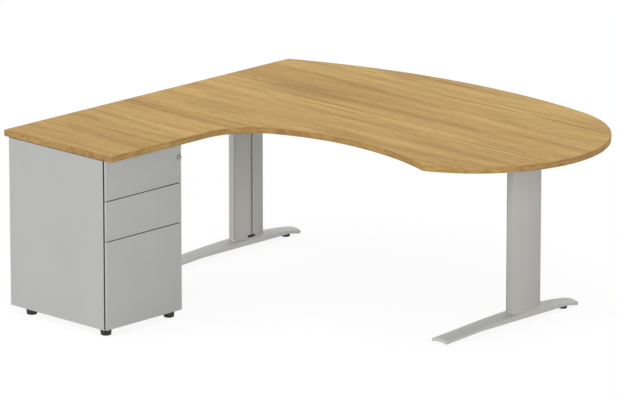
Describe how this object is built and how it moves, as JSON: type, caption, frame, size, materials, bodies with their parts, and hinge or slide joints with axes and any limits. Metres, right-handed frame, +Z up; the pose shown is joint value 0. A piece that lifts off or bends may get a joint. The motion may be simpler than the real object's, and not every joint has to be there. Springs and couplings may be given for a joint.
{
  "type": "l-shaped office desk",
  "caption": "L-shaped office desk with a round meeting end, cantilever legs and a lockable steel drawer pedestal under its return.",
  "frame": {"origin": "on the floor, under the middle of the desk's rectangular outline", "axes": "+X along the main desk from the return to the meeting end, +Y away from the user, +Z up"},
  "size_m": [1.8899, 1.8192, 0.735],
  "materials": {
    "laminate": "satin oak or beech decor, grain along the main desk",
    "edging": "satin wood-look edging",
    "leg_paint": "silver grey powder coat",
    "frame_paint": "silver grey powder coat",
    "carcass_paint": "fine textured light grey powder coat",
    "drawer_paint": "smooth grey powder coat",
    "zinc": "bright zinc plate",
    "lock_metal": "turned and polished nickel plate",
    "black_plastic": "moulded black polyamide",
    "black_steel": "black powder coat on turned steel"
  },
  "bodies": {
    "desk": {"worktop_board": "laminate", "worktop_edge_band": "edging", "corner_leg_foot": "leg_paint", "corner_leg_post": "frame_paint", "corner_leg_outer_cover": "leg_paint", "corner_leg_inner_back_panel": "leg_paint", "corner_leg_inner_front_panel": "leg_paint", "corner_leg_cable_bush": "black_plastic", "corner_leg_arm": "frame_paint", "end_leg_foot": "leg_paint", "end_leg_post": "frame_paint", "end_leg_outer_cover": "leg_paint", "end_leg_inner_back_panel": "leg_paint", "end_leg_inner_front_panel": "leg_paint", "end_leg_cable_bush": "black_plastic", "end_leg_arm": "frame_paint", "main_beam": "frame_paint", "beam_bracket_1": "frame_paint", "beam_bracket_2": "frame_paint", "pedestal_wrap": "carcass_paint", "pedestal_base": "carcass_paint", "pedestal_top": "carcass_paint", "pedestal_rear_outer_upright": "zinc", "pedestal_rear_inner_upright": "zinc", "pedestal_front_outer_upright": "zinc", "pedestal_front_inner_upright": "zinc", "top_drawer_outer_fixed_rail": "zinc", "top_drawer_inner_fixed_rail": "zinc", "middle_drawer_outer_fixed_rail": "zinc", "middle_drawer_inner_fixed_rail": "zinc", "file_drawer_outer_fixed_rail": "zinc", "file_drawer_inner_fixed_rail": "zinc"},
    "top_drawer": {"top_drawer_front": "carcass_paint", "top_drawer_tray": "drawer_paint", "top_drawer_outer_drawer_rail": "zinc", "top_drawer_inner_drawer_rail": "zinc", "lock_barrel": "lock_metal"},
    "middle_drawer": {"middle_drawer_front": "carcass_paint", "middle_drawer_tray": "drawer_paint", "middle_drawer_outer_drawer_rail": "zinc", "middle_drawer_inner_drawer_rail": "zinc"},
    "file_drawer": {"file_drawer_front": "carcass_paint", "file_drawer_tray": "drawer_paint", "file_drawer_outer_drawer_rail": "zinc", "file_drawer_inner_drawer_rail": "zinc"},
    "file_middle_rails": {"file_drawer_outer_middle_rail": "zinc", "file_drawer_inner_middle_rail": "zinc"},
    "lock_turning_parts": {"lock_plug": "lock_metal", "lock_cam": "zinc"},
    "lock_lift_bar": {"lock_bar": "zinc"},
    "rear_outer_foot": {"pedestal_rear_outer_foot": "black_plastic"},
    "rear_inner_foot": {"pedestal_rear_inner_foot": "black_plastic"},
    "front_outer_foot": {"pedestal_front_outer_foot": "black_plastic"},
    "front_inner_foot": {"pedestal_front_inner_foot": "black_plastic"},
    "corner_front_glide": {"corner_leg_front_glide": "black_steel"},
    "corner_back_glide": {"corner_leg_back_glide": "black_steel"},
    "end_front_glide": {"end_leg_front_glide": "black_steel"},
    "end_back_glide": {"end_leg_back_glide": "black_steel"}
  },
  "joints": [
    {"name": "top_drawer_slide", "type": "slide", "parent": "desk", "child": "top_drawer", "axis": [1, 0, 0], "range_m": [0, 0.36]},
    {"name": "middle_drawer_slide", "type": "slide", "parent": "desk", "child": "middle_drawer", "axis": [1, 0, 0], "range_m": [0, 0.36]},
    {"name": "file_drawer_slide", "type": "slide", "parent": "desk", "child": "file_drawer", "axis": [1, 0, 0], "range_m": [0, 0.44]},
    {"name": "file_middle_rails_slide", "type": "slide", "parent": "desk", "child": "file_middle_rails", "axis": [1, 0, 0], "range_m": [0, 0.22]},
    {"name": "lock_turn", "type": "hinge", "parent": "top_drawer", "child": "lock_turning_parts", "pos_m": [-0.3735, -0.51318, 0.654], "axis": [1, 0, 0], "range_deg": [0, 90]},
    {"name": "lock_bar_lift", "type": "slide", "parent": "desk", "child": "lock_lift_bar", "axis": [0, 0, 1], "range_m": [0, 0.0113]},
    {"name": "rear_outer_foot_level", "type": "slide", "parent": "desk", "child": "rear_outer_foot", "axis": [0, 0, -1], "range_m": [0, 0.01]},
    {"name": "rear_inner_foot_level", "type": "slide", "parent": "desk", "child": "rear_inner_foot", "axis": [0, 0, -1], "range_m": [0, 0.01]},
    {"name": "front_outer_foot_level", "type": "slide", "parent": "desk", "child": "front_outer_foot", "axis": [0, 0, -1], "range_m": [0, 0.01]},
    {"name": "front_inner_foot_level", "type": "slide", "parent": "desk", "child": "front_inner_foot", "axis": [0, 0, -1], "range_m": [0, 0.01]},
    {"name": "corner_front_glide_level", "type": "slide", "parent": "desk", "child": "corner_front_glide", "axis": [0, 0, -1], "range_m": [0, 0.005]},
    {"name": "corner_back_glide_level", "type": "slide", "parent": "desk", "child": "corner_back_glide", "axis": [0, 0, -1], "range_m": [0, 0.005]},
    {"name": "end_front_glide_level", "type": "slide", "parent": "desk", "child": "end_front_glide", "axis": [0, 0, -1], "range_m": [0, 0.005]},
    {"name": "end_back_glide_level", "type": "slide", "parent": "desk", "child": "end_back_glide", "axis": [0, 0, -1], "range_m": [0, 0.005]}
  ],
  "couplings": [
    {"joint": "file_middle_rails_slide", "follows": "file_drawer_slide", "ratio": 0.5},
    {"joint": "lock_turn", "follows": "lock_bar_lift", "rad_per_m": 139}
  ]
}
